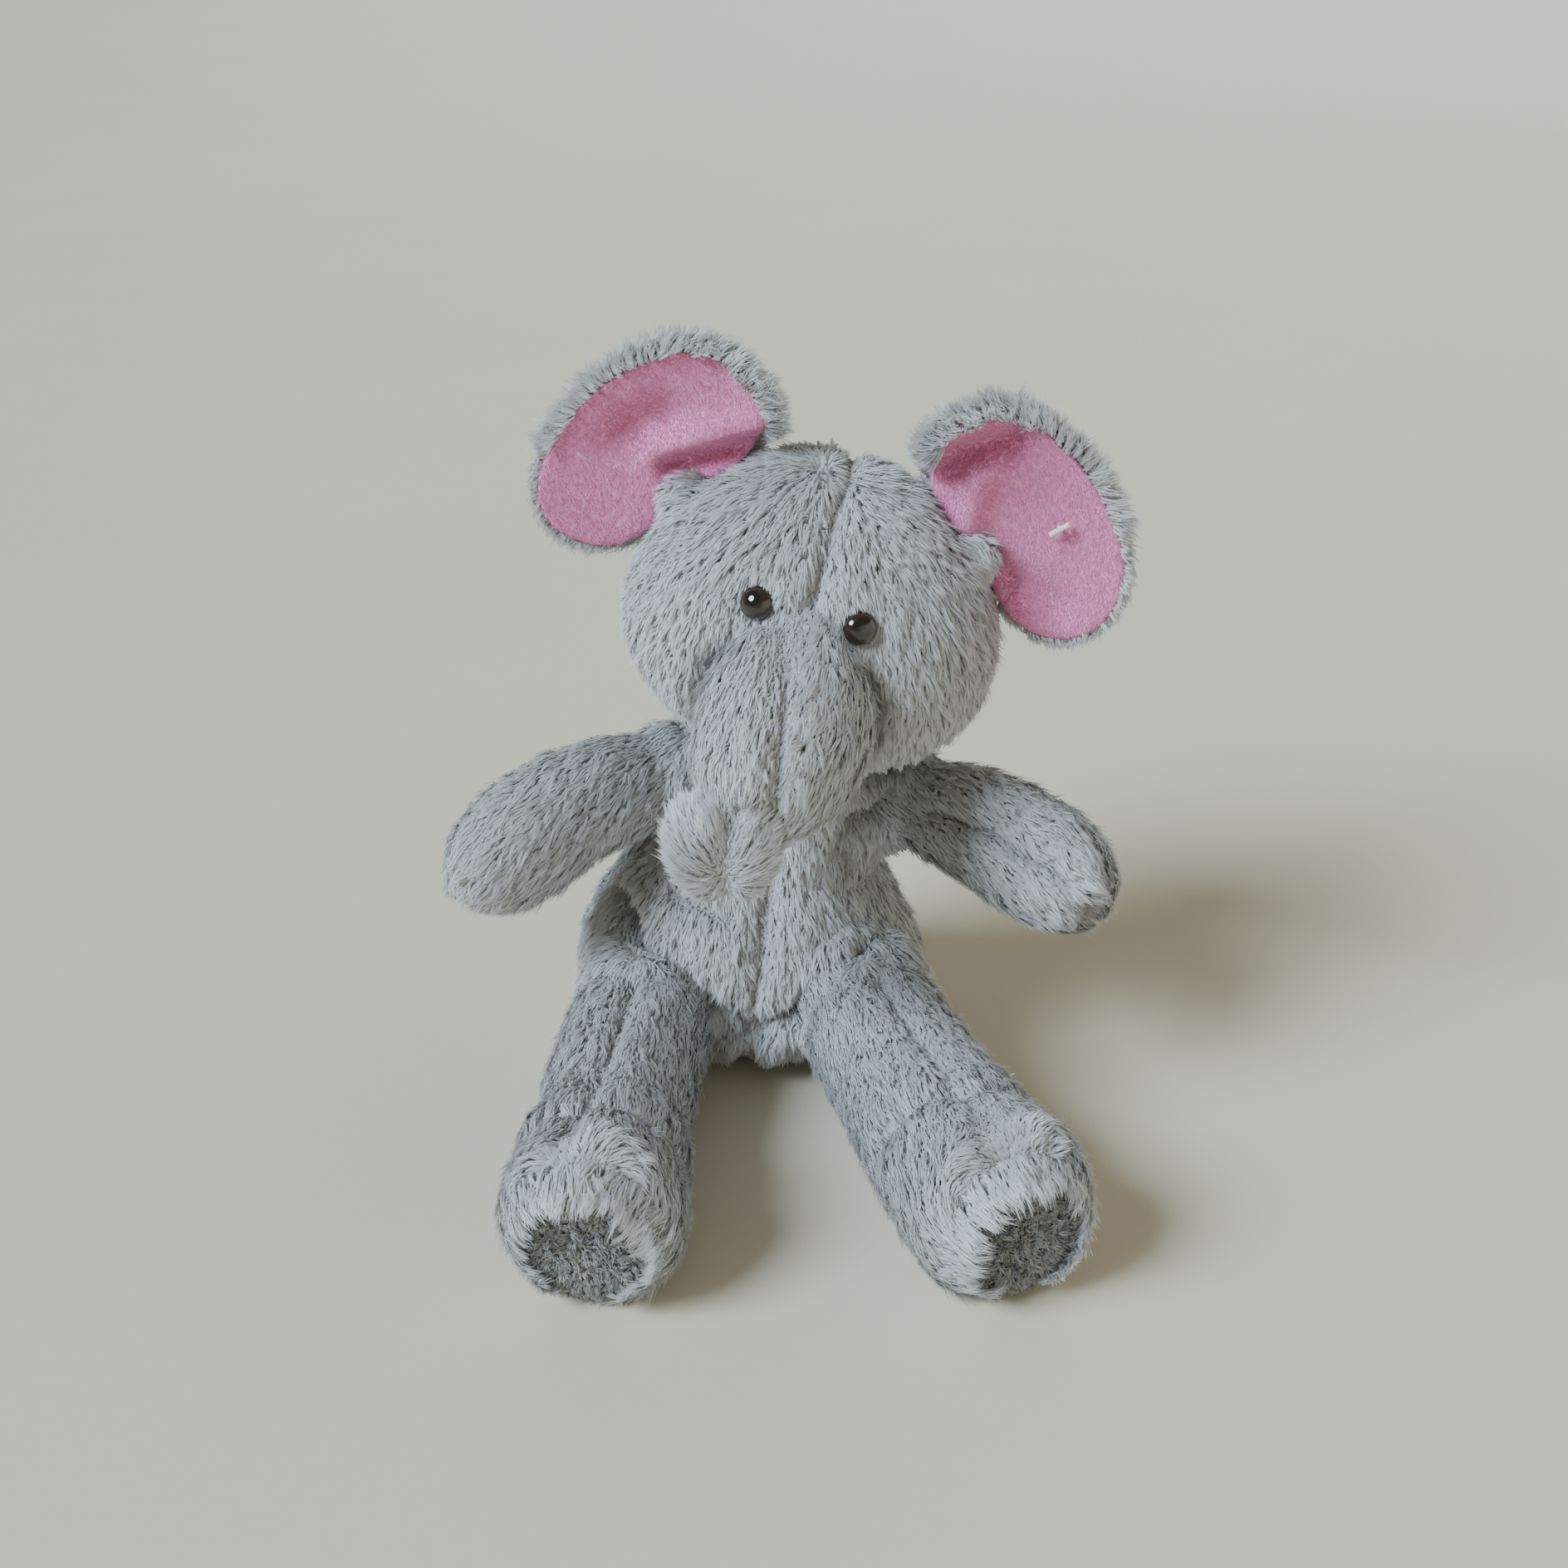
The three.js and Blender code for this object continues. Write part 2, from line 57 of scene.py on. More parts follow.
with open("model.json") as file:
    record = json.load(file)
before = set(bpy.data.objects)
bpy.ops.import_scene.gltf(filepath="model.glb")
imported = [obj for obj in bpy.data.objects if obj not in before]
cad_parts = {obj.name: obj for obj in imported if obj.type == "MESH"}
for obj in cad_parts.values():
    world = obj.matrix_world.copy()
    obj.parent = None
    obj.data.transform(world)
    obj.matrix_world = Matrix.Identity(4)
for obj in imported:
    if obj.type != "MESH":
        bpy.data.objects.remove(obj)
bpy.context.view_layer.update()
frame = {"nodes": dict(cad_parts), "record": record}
joints = {j["name"]: j for j in frame["record"]["behaviour"]["joints"]}


def point(*mm):
    return np.array(mm, dtype=float) * MM


def pivot(joint):
    return np.array(joints[joint]["pos_m"], dtype=float)


def unit(v):
    v = np.asarray(v, dtype=float)
    return v / np.maximum(np.linalg.norm(v, axis=-1, keepdims=True), 1e-12)


# ---------------------------------------------------------------- materials


def node_material(name):
    """A new material, with its node tree and its Principled node."""
    material = bpy.data.materials.new(name)
    material.use_nodes = True
    tree = material.node_tree
    return material, tree, tree.nodes["Principled BSDF"]


def add(tree, kind, **settings):
    node = tree.nodes.new(kind)
    for key, value in settings.items():
        setattr(node, key, value)
    return node


def ramp(tree, stops):
    """A colour ramp with the given (position, (r, g, b)) stops."""
    node = tree.nodes.new("ShaderNodeValToRGB")
    elements = node.color_ramp.elements
    while len(elements) < len(stops):
        elements.new(0.5)
    for element, (position, colour) in zip(elements, stops):
        element.position = position
        element.color = (*colour, 1.0)
    return node


def pile_material(name, dark, light, root_shade, translucency=0.25):
    """Fibre colour: each strand has its own tone, and painted shade darkens it from its tip towards its root.
    """
    material, tree, shader = node_material(name)
    uv = add(tree, "ShaderNodeUVMap", uv_map="OFBake")
    split = add(tree, "ShaderNodeSeparateXYZ")
    tone = ramp(tree, [(0.0, dark), (0.55, [(d + l) / 2 for d, l in zip(dark, light)]), (1.0, light)])
    # painted shade: darkest at the root, where the pile would shade itself
    depth = ramp(tree, [(0.0, (root_shade,) * 3), (0.45, (0.86,) * 3), (1.0, (1.0,) * 3)])
    mix = add(tree, "ShaderNodeMix", data_type="RGBA", blend_type="MULTIPLY")
    mix.inputs["Factor"].default_value = 1.0
    links = tree.links
    links.new(uv.outputs["UV"], split.inputs["Vector"])
    links.new(split.outputs["X"], tone.inputs["Fac"])
    links.new(split.outputs["Y"], depth.inputs["Fac"])
    links.new(tone.outputs["Color"], mix.inputs["A"])
    links.new(depth.outputs["Color"], mix.inputs["B"])
    links.new(mix.outputs["Result"], shader.inputs["Base Color"])
    shader.inputs["Roughness"].default_value = 0.62
    shader.inputs["Specular IOR Level"].default_value = 0.25
    shader.inputs["Sheen Weight"].default_value = 0.35
    shader.inputs["Sheen Roughness"].default_value = 0.5
    through = add(tree, "ShaderNodeBsdfTranslucent")
    both = add(tree, "ShaderNodeMixShader")
    both.inputs["Fac"].default_value = translucency
    links.new(mix.outputs["Result"], through.inputs["Color"])
    links.new(shader.outputs["BSDF"], both.inputs[1])
    links.new(through.outputs["BSDF"], both.inputs[2])
    links.new(both.outputs["Shader"], tree.nodes["Material Output"].inputs["Surface"])
    return material


def cloth_material(name, low, high, scale, bump, sheen=0.3, roughness=0.9):
    """Knitted or brushed cloth: two tones of fine noise, with a bump of the same grain."""
    material, tree, shader = node_material(name)
    place = add(tree, "ShaderNodeTexCoord")
    grain = add(tree, "ShaderNodeTexNoise")
    grain.inputs["Scale"].default_value = scale
    grain.inputs["Detail"].default_value = 6.0
    patches = add(tree, "ShaderNodeTexNoise")
    patches.inputs["Scale"].default_value = scale / 18
    mix = add(tree, "ShaderNodeMath", operation="MULTIPLY_ADD")
    mix.inputs[1].default_value = 0.45
    colours = ramp(tree, [(0.3, low), (0.75, high)])
    height = add(tree, "ShaderNodeBump")
    height.inputs["Strength"].default_value = bump
    height.inputs["Distance"].default_value = 0.6 * MM
    links = tree.links
    for texture in (grain, patches):
        links.new(place.outputs["Object"], texture.inputs["Vector"])
    links.new(grain.outputs["Fac"], mix.inputs[0])
    links.new(patches.outputs["Fac"], mix.inputs[2])
    links.new(mix.outputs["Value"], colours.inputs["Fac"])
    links.new(colours.outputs["Color"], shader.inputs["Base Color"])
    links.new(grain.outputs["Fac"], height.inputs["Height"])
    links.new(height.outputs["Normal"], shader.inputs["Normal"])
    shader.inputs["Roughness"].default_value = roughness
    shader.inputs["Sheen Weight"].default_value = sheen
    return material


def eye_material():
    """A glossy dome, deep brown at its rim and black in the middle, under a clear coat."""
    material, tree, shader = node_material("eye_gloss")
    layer = add(tree, "ShaderNodeUVMap", uv_map="OFBake")
    split = add(tree, "ShaderNodeSeparateXYZ")
    colours = ramp(tree, [
        (0.0, (0.003, 0.002, 0.002)),
        (0.55, (0.004, 0.003, 0.002)),
        (0.68, (0.03, 0.012, 0.007)),
        (1.0, (0.015, 0.007, 0.005)),
    ])
    tree.links.new(layer.outputs["UV"], split.inputs["Vector"])
    tree.links.new(split.outputs["Y"], colours.inputs["Fac"])
    tree.links.new(colours.outputs["Color"], shader.inputs["Base Color"])
    shader.inputs["Roughness"].default_value = 0.08
    shader.inputs["Coat Weight"].default_value = 1.0
    shader.inputs["Coat Roughness"].default_value = 0.03
    return material


GREY_PILE = pile_material("grey_pile", (0.72, 0.715, 0.71), (0.91, 0.905, 0.90), 0.93, 0.4)
# painted light: a lighter copy of the grey pile, for the fringes at ear rims and soles and the trunk tip,
# where they catch the light
LIT_FRINGE_PILE = pile_material("lit_fringe_pile", (0.82, 0.825, 0.83), (0.95, 0.955, 0.96), 0.96, 0.42)
# painted shade: the sole's pile is a darker copy of the grey pile, for the shade on the soles
SHADED_SOLE_PILE = pile_material("shaded_sole_pile", (0.27, 0.265, 0.25), (0.46, 0.45, 0.43), 0.75, 0.15)
PINK_PILE = pile_material("pink_pile", (0.92, 0.33, 0.60), (0.96, 0.41, 0.68), 0.97)
BACKING = cloth_material("grey_backing", (0.74, 0.745, 0.75), (0.84, 0.845, 0.85), 900, 0.3)
VELOUR = cloth_material("pink_velour", (0.93, 0.32, 0.59), (0.96, 0.37, 0.64), 1500, 0.08, sheen=0.25)
# painted shade: dark grey for the seam rings, standing for the shade in the creases where the parts meet
JOINT_SHADE = cloth_material("painted_joint_shade", (0.3, 0.3, 0.31), (0.45, 0.45, 0.46), 1200, 0.4)
WHITE_PLASTIC = cloth_material("white_nylon", (0.75, 0.75, 0.73), (0.88, 0.88, 0.86), 400, 0.05, 0.0, 0.45)
EYE_GLOSS = eye_material()


# ---------------------------------------------------------------- stuffed skins


def placed(obj):
    """Links a new object into the scene."""
    bpy.context.scene.collection.objects.link(obj)
    return obj


def mesh_object(name, verts, faces):
    """A new object in the scene with the given vertices and faces."""
    mesh = bpy.data.meshes.new(name)
    mesh.from_pydata(verts, [], faces)
    return placed(bpy.data.objects.new(name, mesh))


def shade_smooth(obj):
    for polygon in obj.data.polygons:
        polygon.use_smooth = True


def world_mesh(nodes):
    """The vertices and triangles of CAD nodes taken together."""
    points, triangles, start = [], [], 0
    for name in nodes:
        obj = frame["nodes"][name]
        obj.data.calc_loop_triangles()
        points += [obj.matrix_world @ v.co for v in obj.data.vertices]
        triangles += [[start + i for i in t.vertices] for t in obj.data.loop_triangles]
        start = len(points)
    return points, triangles


def ball_mesh(centre, radius, rings=12):
    """A plain ball, to fill a hollow in a skin."""
    points, triangles = [], []
    around = 2 * rings
    for row in range(rings + 1):
        tilt = math.pi * row / rings
        for step in range(around):
            turn = 2 * math.pi * step / around
            out = Vector((math.sin(tilt) * math.cos(turn), math.sin(tilt) * math.sin(turn), math.cos(tilt)))
            points.append(Vector(centre) + out * radius)
    for row in range(rings):
        for step in range(around):
            a, b = row * around + step, row * around + (step + 1) % around
            triangles += [[a, a + around, b], [b, a + around, b + around]]
    return points, triangles


def baked(obj):
    """Applies an object's modifiers to its own mesh."""
    graph = bpy.context.evaluated_depsgraph_get()
    mesh = bpy.data.meshes.new_from_object(obj.evaluated_get(graph))
    obj.modifiers.clear()
    obj.data = mesh
    return obj


def skin_of(name, nodes, fills=(), voxel=2.8 * MM, smooth=14):
    """One smooth closed skin round several CAD nodes, with each (centre, radius) hollow filled."""
    points, triangles = world_mesh(nodes)
    for centre, radius in fills:
        more, faces = ball_mesh(centre, radius)
        triangles += [[len(points) + i for i in face] for face in faces]
        points += more
    obj = mesh_object(name, points, triangles)
    remesh = obj.modifiers.new("remesh", "REMESH")
    remesh.mode = "VOXEL"
    remesh.voxel_size = voxel
    baked(obj)
    keep_outside(obj)
    ease = obj.modifiers.new("ease", "SMOOTH")
    ease.factor = 0.5
    ease.iterations = smooth
    baked(obj)
    shade_smooth(obj)
    return obj


def keep_outside(obj):
    """Drops the loose inner surfaces that remeshing leaves, and keeps the largest."""
    count = len(obj.data.vertices)
    label = np.arange(count)
    edges = np.empty(2 * len(obj.data.edges), dtype=np.int64)
    obj.data.edges.foreach_get("vertices", edges)
    a, b = edges.reshape(-1, 2).T
    while True:
        low = np.minimum(label[a], label[b])
        before = label.copy()
        np.minimum.at(label, a, low)
        np.minimum.at(label, b, low)
        label = label[label]
        if np.array_equal(before, label):
            break
    values, sizes = np.unique(label, return_counts=True)
    main = values[np.argmax(sizes)]
    faces = [list(p.vertices) for p in obj.data.polygons if label[p.vertices[0]] == main]
    kept = sorted({i for face in faces for i in face})
    place = {old: new for new, old in enumerate(kept)}
    mesh = bpy.data.meshes.new(obj.name)
    mesh.from_pydata([obj.data.vertices[i].co for i in kept], [], [[place[i] for i in f] for f in faces])
    obj.data = mesh


def coordinates(obj):
    flat = np.empty(3 * len(obj.data.vertices))
    obj.data.vertices.foreach_get("co", flat)
    return flat.reshape(-1, 3)


def normals(obj):
    flat = np.empty(3 * len(obj.data.vertices))
    obj.data.vertices.foreach_get("normal", flat)
    return flat.reshape(-1, 3)


def set_coordinates(obj, points):
    obj.data.vertices.foreach_set("co", np.ascontiguousarray(points).ravel())
    obj.data.update()


def seam_closeness(points, panels, width):
    """1 on the line where two panels meet, falling to 0 a width away from it."""
    trees = []
    for name in panels:
        verts, faces = world_mesh([name])
        trees.append(BVHTree.FromPolygons(verts, faces))
    distances = np.empty((len(points), len(trees)))
    for column, tree in enumerate(trees):
        distances[:, column] = [tree.find_nearest(Vector(p))[3] for p in points]
    distances.sort(axis=1)
    return np.exp(-(((distances[:, 1] - distances[:, 0]) / width) ** 2))


def pinch_seams(obj, panels, depth, width=4.2 * MM):
    """Draws the skin in along its seams, and returns how close each vertex is to one."""
    points = coordinates(obj)
    near = seam_closeness(points, panels, width)
    inward = points - normals(obj) * (near * depth)[:, None]
    inward[:, 2] = np.where(points[:, 2] < FLAT_ZONE, points[:, 2], inward[:, 2])
    set_coordinates(obj, inward)
    return near


def line_distance(points, line):
    """How far each point is from a line of straight pieces."""
    best = np.full(len(points), np.inf)
    for a, b in zip(line, line[1:]):
        along = b - a
        part = np.clip((points - a) @ along / max(along @ along, 1e-12), 0, 1)[:, None]
        best = np.minimum(best, np.linalg.norm(points - a - part * along, axis=1))
    return best


def press_fold(skin, corners, depth, width):
    """Presses a fold into a skin along a line laid on it, all in mm. Returns the closeness of each vertex."""
    points = coordinates(skin)
    tree = BVHTree.FromPolygons(points.tolist(), [tuple(p.vertices) for p in skin.data.polygons])
    corners = [point(*corner) for corner in corners]
    laid = []
    for a, b in zip(corners, corners[1:]):
        for part in np.linspace(0, 1, FOLD_SPOTS):
            laid.append(np.array(tree.find_nearest(Vector(a + (b - a) * part))[0]))
    close = np.exp(-((line_distance(points, laid) / (width * MM)) ** 2))
    set_coordinates(skin, points - normals(skin) * (close * depth * MM)[:, None])
    return close


def swell_out(skin, centre, radius, height):
    """Raises a soft bulge on a skin round a centre, all in mm."""
    points = coordinates(skin)
    far = np.linalg.norm(points - point(*centre), axis=1) / (radius * MM)
    set_coordinates(skin, points + normals(skin) * (np.exp(-(far**2)) * height * MM)[:, None])


def puff(skin, near, limit=4 * MM, pressure=4.0, frames=20):
    """Swells a skin as stuffing does, by cloth simulation held at its seams, by no more than limit."""
    rest = coordinates(skin)
    pins = skin.vertex_groups.new(name="seams")
    for i, closeness in enumerate(near):
        held = 1.0 if rest[i, 2] < HELD_ZONE else float(closeness)
        pins.add([i], held, "REPLACE")
    cloth = skin.modifiers.new("stuffing", "CLOTH")
    cloth.settings.vertex_group_mass = "seams"
    cloth.settings.mass = 0.3
    cloth.settings.quality = 4
    cloth.settings.tension_stiffness = 12
    cloth.settings.compression_stiffness = 12
    cloth.settings.bending_stiffness = 0.3
    cloth.settings.use_pressure = True
    cloth.settings.uniform_pressure_force = pressure
    cloth.settings.effector_weights.gravity = 0.0
    cloth.point_cache.frame_start = 1
    cloth.point_cache.frame_end = frames
    scene = bpy.context.scene
    for step in range(1, frames + 1):
        scene.frame_set(step)
    graph = bpy.context.evaluated_depsgraph_get()
    swollen = coordinates(skin.evaluated_get(graph))
    scene.frame_set(1)
    skin.modifiers.remove(cloth)
    skin.vertex_groups.clear()
    move = swollen - rest
    far = np.linalg.norm(move, axis=1, keepdims=True)
    set_coordinates(skin, rest + move * np.minimum(1.0, limit / np.maximum(far, 1e-9)))


# ---------------------------------------------------------------- pile


def surface_samples(obj, density, rng, keep=None):
    """Random places spread evenly over a skin: points, normals, and the vertex and weight triples.
    density is places per square mm, and keep(points, normals) is true where pile grows."""
    mesh = obj.data
    mesh.calc_loop_triangles()
    corners = np.empty(3 * len(mesh.loop_triangles), dtype=np.int64)
    mesh.loop_triangles.foreach_get("vertices", corners)
    corners = corners.reshape(-1, 3)
    points, directions = coordinates(obj), normals(obj)
    a, b, c = (points[corners[:, i]] for i in range(3))
    area = np.linalg.norm(np.cross(b - a, c - a), axis=1) / 2
    if keep is not None:
        middle = (a + b + c) / 3
        area = area * keep(middle, unit(np.cross(b - a, c - a)))
    share = 1.0
    count = int(min(area.sum() / MM**2 * density * share, MOST_STRANDS))
    chosen = rng.choice(len(corners), size=count, p=area / area.sum())
    u, v = rng.random(count), rng.random(count)
    over = u + v > 1
    u[over], v[over] = 1 - u[over], 1 - v[over]
    weights = np.stack([1 - u - v, u, v], axis=1)
    triple = corners[chosen]
    place = np.einsum("ij,ijk->ik", weights, points[triple])
    normal = unit(np.einsum("ij,ijk->ik", weights, directions[triple]))
    return place, normal, triple, weights


def nearest(centres, points):
    """For each point, the index of the nearest centre."""
    tree = KDTree(len(centres))
    for i, centre in enumerate(centres):
        tree.insert(Vector(centre), i)
    tree.balance()
    return np.array([tree.find(Vector(p))[1] for p in points])


def shy_share(roots, shy):
    """How much of the pile's length each root keeps, from 0 to 1, near the places the pile is shy of."""
    grown = np.ones(len(roots))
    for centre, bare, full in shy:
        far = np.linalg.norm(roots - centre, axis=1)
        grown = np.minimum(grown, np.clip((far - bare) / (full - bare), 0.0, 1.0))
    return grown


def laid_flow(flow, up, swing):
    """Comb directions laid in the surface of the skin, and each swung sideways by its own angle."""
    flow = unit(flow - up * np.sum(flow * up, axis=1, keepdims=True))
    across = np.cross(up, flow)
    return unit(flow * np.cos(swing) + across * np.sin(swing))


def strand_points(roots, up, flow, tilt, reach, leader, held, half_width):
    """The five corners of each strand, whose tip is drawn by held towards the tip of its tuft's leader."""
    tip = roots + reach * (up * np.cos(tilt) + flow * np.sin(tilt))
    tip = tip + (tip[leader] - tip) * held * 0.5
    half = tilt * 0.45
    middle = roots + 0.5 * reach * (up * np.cos(half) + flow * np.sin(half))
    rooted = roots - up * 0.5 * MM
    for points in (rooted, middle, tip):
        points[:, 2] = np.maximum(points[:, 2], FLOOR_GAP)
    side = unit(np.cross(tip - roots, up)) * half_width
    return np.stack([rooted - side, rooted + side, middle + side * 0.8, middle - side * 0.8, tip], axis=1)


def grow_pile(name, skin, comb, material, body, seed, density=2.1, length=PILE, width=STRAND, lean=64.0,
              clump=7, gather=0.28, wild=0.2, near=None, keep=None, shy=()):
    """Pile on a skin as a mesh of tapered strands, gathered in tufts and combed along comb(points).
    density is strands per square mm, lean the angle in degrees at which a strand lies over, and shy
    a list of (centre, bare radius, full radius) round which the pile is shorter."""
    rng = np.random.default_rng(SEED + seed)
    roots, up, triple, weights = surface_samples(skin, density, rng, keep)
    grown = shy_share(roots, shy)
    kept = grown > 0.02
    roots, up, triple, weights, grown = (a[kept] for a in (roots, up, triple, weights, grown))
    count = len(roots)
    tufts = rng.choice(count, size=max(count // clump, 1), replace=False)
    tuft = nearest(roots[tufts], roots)

    def varied(by_tuft, by_strand):
        """Random variation: a part that a tuft shares, and a part of each strand's own."""
        return rng.normal(0, by_tuft, len(tufts))[tuft] + rng.normal(0, by_strand, count)

    flow = laid_flow(comb(roots), up, varied(wild, wild * 0.45)[:, None])
    tilt = np.radians(lean + varied(9, 6))[:, None]
    reach = length * (1 + varied(0.12, 0.1))[:, None]
    reach = reach * (0.3 + 0.7 * grown[:, None])
    if near is not None:
        close = np.einsum("ij,ij->i", weights, near[triple])[:, None]
        reach = reach * (1 - 0.6 * close)
        tilt = tilt + np.radians(12) * close
    held = gather * (0.6 + 0.4 * rng.random((count, 1)))
    half_width = width * (0.65 + 0.7 * rng.random((count, 1))) / 2
    points = strand_points(roots, up, flow, tilt, reach, tufts[tuft], held, half_width)
    tone = np.clip(0.5 + varied(0.17, 0.12), 0.03, 0.97)
    return strand_mesh(name, points, tone, material, body)


def strand_mesh(name, points, tone, material, body):
    """Strands of one quad and one tip triangle each. The UV map holds tone across and root-to-tip up."""
    count = len(points)
    first = 5 * np.arange(count)[:, None]
    loops = np.concatenate([first + [0, 1, 2, 3], first + [3, 2, 4]], axis=1).ravel()
    mesh = bpy.data.meshes.new(name)
    mesh.vertices.add(5 * count)
    mesh.vertices.foreach_set("co", points.ravel())
    mesh.loops.add(7 * count)
    mesh.loops.foreach_set("vertex_index", loops)
    mesh.polygons.add(2 * count)
    starts = 7 * np.arange(count)[:, None] + np.array([0, 4])
    mesh.polygons.foreach_set("loop_start", starts.ravel())
    mesh.update(calc_edges=True)
    layer = mesh.uv_layers.new(name="OFBake")
    u = tone[:, None] + TONE_SPREAD * np.array([-1, 1, 1, -1, -1, 1, 0])
    v = np.tile([ROOT_V, ROOT_V, MIDDLE_V, MIDDLE_V, MIDDLE_V, MIDDLE_V, TIP_V], (count, 1))
    layer.data.foreach_set("uv", np.stack([u, v], axis=2).ravel())
    mesh.polygons.foreach_set("use_smooth", np.ones(2 * count, dtype=bool))
    mesh.materials.append(material)
    obj = placed(bpy.data.objects.new(name, mesh))
    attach(obj, body)
    return obj


def toward(direction):
    """A comb that runs one way all over."""
    return lambda points: np.tile(unit(direction), (len(points), 1))


def along_limb(root, tip, droop=0.25):
    """A comb that runs down a limb and sags a little."""
    way = unit(np.asarray(tip) - np.asarray(root)) + np.array([0, 0, -droop])
    return toward(way)


def parted(comb, apex, width=20 * MM):
    """A comb that spreads out from an apex close to it, and follows another comb farther off."""

    def flow(points):
        share = np.exp(-((np.linalg.norm(points - apex, axis=1, keepdims=True) / width) ** 2))
        return unit(comb(points)) * (1 - share) + unit(points - apex) * share

    return flow


def away_from(source, extra=(0, 0, 0)):
    """A comb that spreads out from a point, such as a crown or the pinched end of a trunk."""
    return lambda points: unit(points - source) + np.asarray(extra, dtype=float)


def dressed(skin, panels, body, stands_for, pinch=2.6 * MM, swell=2.5 * MM, folds=(), bulges=()):
    """Finishes a stuffed skin: seams, folds, cloth, its body, and the CAD nodes it stands for."""
    for centre, radius, height in bulges:
        swell_out(skin, centre, radius, height)
    near = pinch_seams(skin, panels, pinch)
    for corners, depth, width in folds:
        near = np.maximum(near, press_fold(skin, corners, depth, width))
    puff(skin, near, swell)
    skin.data.materials.append(BACKING)
    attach(skin, body)
    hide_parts(*panels, *stands_for)
    return near


# ---------------------------------------------------------------- the parts


# Folds are (line of points, depth, width) and bulges (centre, radius, height), all in mm.
TORSO_FOLDS = [
    ([(-74, -22, 86), (-40, -46, 58), (-4, -62, 26)], 8, 4.5),
    ([(66, -22, 86), (34, -48, 58), (-4, -62, 26)], 8, 4.5),
    ([(-50, -46, 98), (-14, -58, 86)], 3, 4),
    ([(46, -40, 126), (40, -50, 100), (52, -44, 80)], 6, 5),
    ([(60, -26, 118), (62, -32, 92)], 5, 4),
]
TORSO_BULGES = [((-30, -52, 78), 24, 5), ((26, -52, 78), 22, 5), ((-4, -58, 8), 16, 5)]
ARM_FOLDS = {
    "left": [
        ([(66, -32, 118), (92, -52, 116), (116, -72, 106)], 4.5, 3.5),
        ([(124, -80, 94), (134, -76, 82)], 5, 4),
    ],
    "right": [([(-112, -60, 74), (-124, -56, 72)], 4, 4)],
}
ARM_TIPS = {"left": (129, -80, 90), "right": (-118, -58, 70)}
LEG_FOLDS = {
    "left": [([(44, -132, 34), (70, -130, 62), (102, -128, 34)], 4, 5)],
    "right": [([(-88, -138, 34), (-58, -134, 62), (-28, -138, 34)], 4, 5)],
}
LEG_BULGES = {"left": [((84, -160, 56), 20, 5)], "right": [((-60, -160, 56), 20, 5)]}


HALVES = {"front": lambda points: points[:, 1] < 0, "back": lambda points: points[:, 1] >= 0}


def above_floor(points):
    return points[:, 2] > BARE_ZONE


def ring_radius(node):
    low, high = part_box(node)
    return max(high[i] - low[i] for i in range(3)) / 2


def build_torso():
    arms = [(pivot(f"arm_{side}_lift"), ring_radius(f"arm_{side}_seam")) for side in ("left", "right")]
    legs = [(pivot(f"leg_{side}_lift"), ring_radius(f"leg_{side}_seam")) for side in ("left", "right")]
    fills = [(centre, radius * 1.05) for centre, radius in arms + legs]
    fills.append((pivot("tail_lift"), 9 * MM))
    panels = ["torso_front_left", "torso_front_right", "torso_back_left", "torso_back_right", "torso_seat"]
    skin = skin_of("torso_skin", [*panels, "torso_stuffing"], fills)
    near = dressed(skin, panels, "torso", ["torso_stuffing"], folds=TORSO_FOLDS, bulges=TORSO_BULGES)
    comb = away_from(point(5, 0, 190), (0, 0, -1.2))
    shy = [(centre, radius * 0.2, radius * 1.35) for centre, radius in arms + legs]
    for half, seed in (("front", 1), ("back", 20)):
        grow_pile(f"torso_{half}_pile", skin, comb, GREY_PILE, "torso", seed, density=1.9, near=near,
                  keep=lambda p, n, half=half: above_floor(p) & HALVES[half](p), shy=shy)


def eye_places():
    """The front of each eye, and the way it looks: away from its washer."""
    places = {}
    for side in ("left", "right"):
        low, high = (np.array(v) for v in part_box(f"eye_{side}"))
        washer_low, washer_high = (np.array(v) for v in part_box(f"eye_washer_{side}"))
        facing = unit((low + high) / 2 - (washer_low + washer_high) / 2)
        node = frame["nodes"][f"eye_{side}"]
        points = np.array([node.matrix_world @ v.co for v in node.data.vertices])
        places[side] = (points[np.argmax(points @ facing)], facing)
    return places


def build_head():
    fills = [(pivot("head_turn"), ring_radius("neck_seam") * 1.04), (pivot("trunk_lift"), 27 * MM)]
    fills += [(pivot(f"ear_{side}_flap"), 10 * MM) for side in ("left", "right")]
    panels = ["face_left", "face_right", "head_back_left", "head_back_right"]
    skin = skin_of("head_skin", [*panels, "head_stuffing"], fills)
    near = dressed(skin, panels, "head", ["head_stuffing"])
    comb = away_from(point(28, -20, 262), (0, 0.1, -0.5))
    shy = [(front, 5.5 * MM, 13 * MM) for front, _ in eye_places().values()]
    shy.append((pivot("trunk_lift"), 22 * MM, 40 * MM))
    for half, seed in (("front", 2), ("back", 21)):
        grow_pile(f"head_{half}_pile", skin, comb, GREY_PILE, "head", seed, density=2.1, near=near,
                  keep=lambda p, n, half=half: HALVES[half](p), shy=shy)


